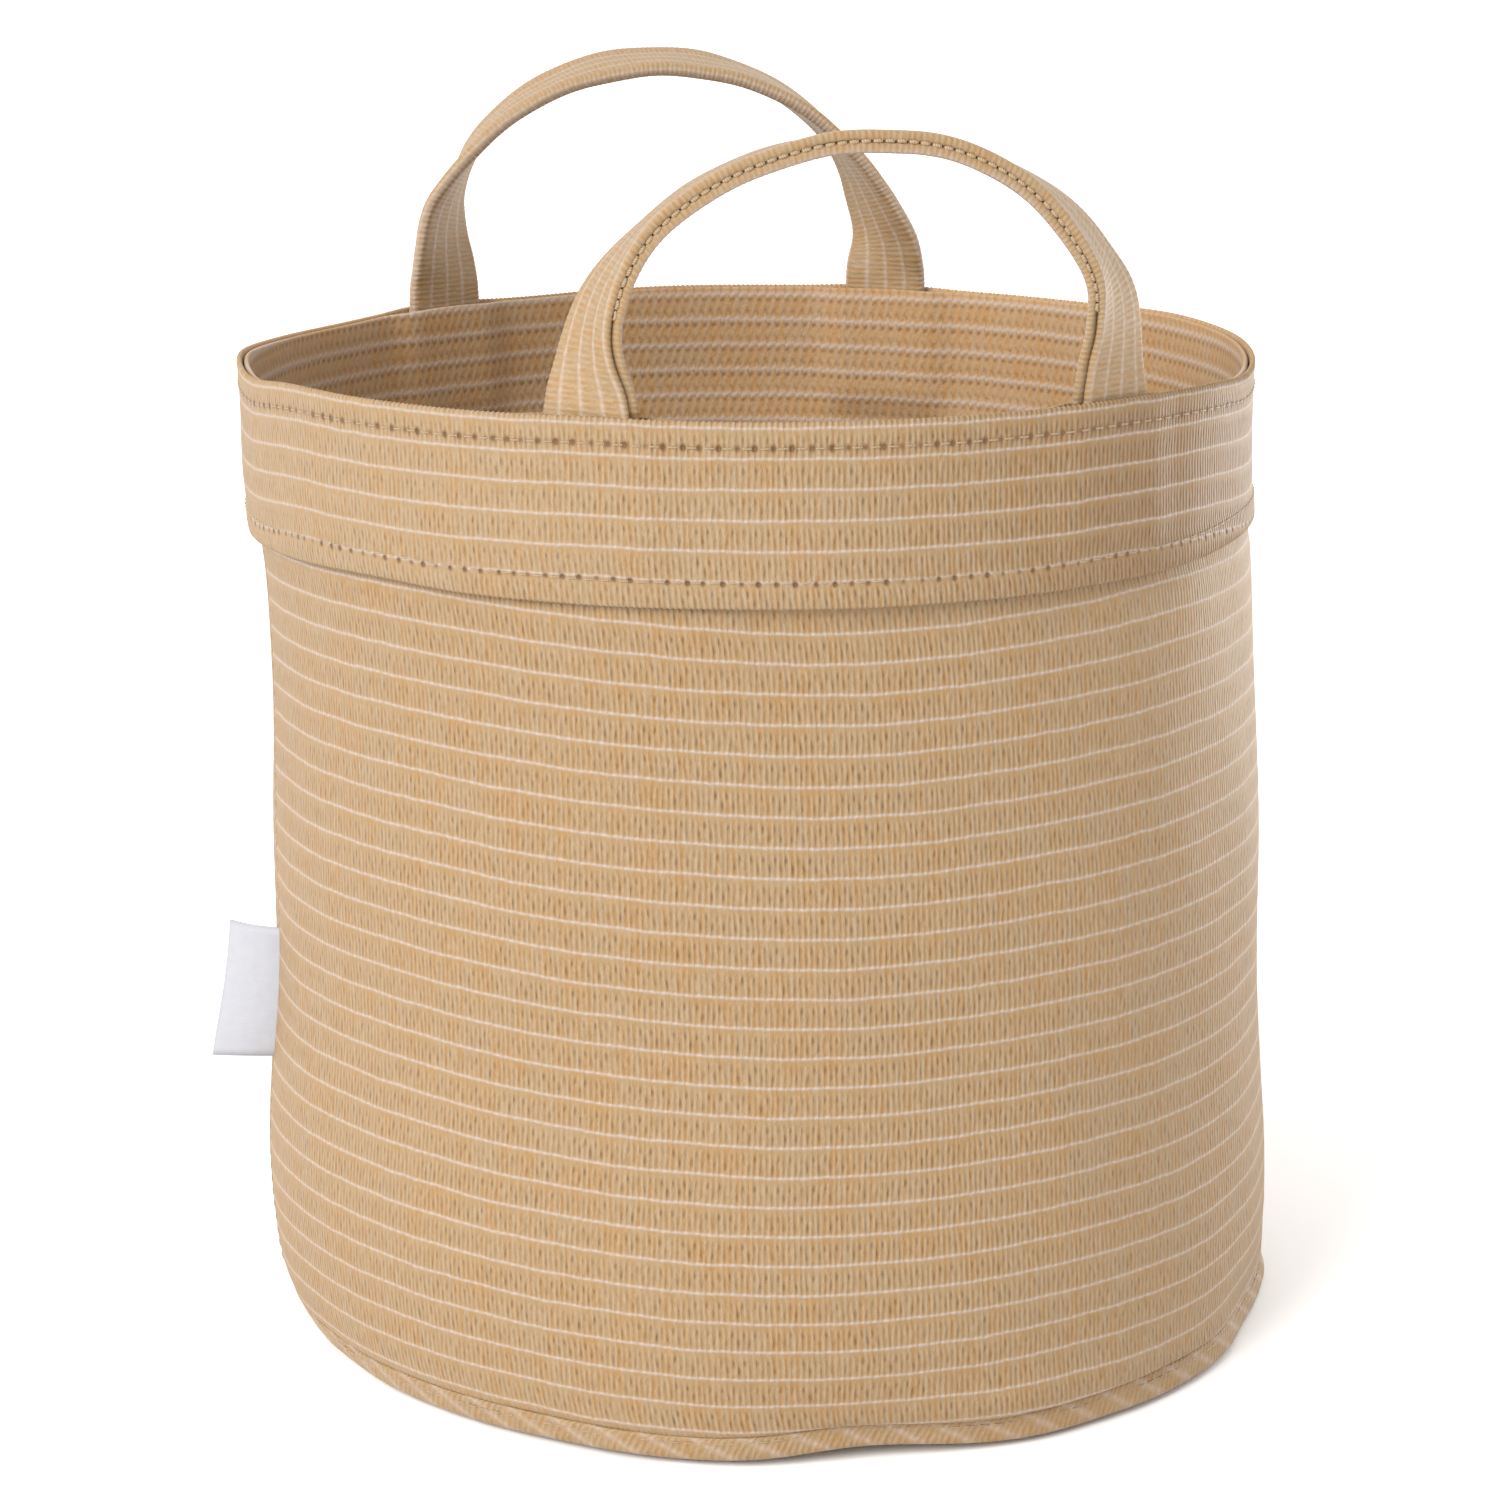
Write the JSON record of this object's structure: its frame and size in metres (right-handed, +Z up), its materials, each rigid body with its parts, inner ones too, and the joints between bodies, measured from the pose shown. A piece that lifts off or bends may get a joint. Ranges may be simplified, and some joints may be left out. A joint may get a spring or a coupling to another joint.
{
  "type": "fabric grow bag",
  "caption": "Round planter bag of knitted shade cloth with a turned-down cuff, a flat base and two sewn carry straps that fold at the rim.",
  "frame": {"origin": "centre of the underside of the base panel, on the bag's axis", "axes": "+Z up along the bag's axis, -Y towards the front carry strap, +Y towards the rear strap, -X through the side seam and its label"},
  "size_m": [0.3234, 0.3064, 0.3656],
  "materials": {
    "knitted_cloth": "matt knitted shade cloth, ribbed, with fine pale cross lines",
    "strap_cloth": "matt knitted shade cloth, folded and sewn, lines along the strap",
    "sewing_thread": "satin twisted polyester thread",
    "label_cloth": "smooth satin ribbon, plain white"
  },
  "bodies": {
    "bag": {"wall_panel": "knitted_cloth", "base_panel": "knitted_cloth", "base_binding": "knitted_cloth", "cuff_band": "knitted_cloth", "front_left_strap_tail": "strap_cloth", "front_right_strap_tail": "strap_cloth", "rear_left_strap_tail": "strap_cloth", "rear_right_strap_tail": "strap_cloth", "cuff_top_stitch": "sewing_thread", "cuff_hem_stitch": "sewing_thread", "base_seam_stitch": "sewing_thread", "side_seam_stitch": "sewing_thread"},
    "front_handle": {"front_handle_strap": "strap_cloth", "front_handle_stitch": "sewing_thread"},
    "rear_handle": {"rear_handle_strap": "strap_cloth", "rear_handle_stitch": "sewing_thread"},
    "label": {"side_label": "label_cloth"}
  },
  "joints": [
    {"name": "front_handle_fold", "type": "hinge", "parent": "bag", "child": "front_handle", "pos_m": [0, -0.12751, 0.302], "axis": [1, 0, 0], "range_deg": [-120, 120], "stiffness_Nm_per_rad": 0.03},
    {"name": "rear_handle_fold", "type": "hinge", "parent": "bag", "child": "rear_handle", "pos_m": [0, 0.12751, 0.302], "axis": [-1, 0, 0], "range_deg": [-120, 120], "stiffness_Nm_per_rad": 0.03},
    {"name": "label_flap", "type": "hinge", "parent": "bag", "child": "label", "pos_m": [-0.1524, 0, 0.1], "axis": [0, 0, 1], "range_deg": [-47, 115], "stiffness_Nm_per_rad": 0.0005}
  ]
}
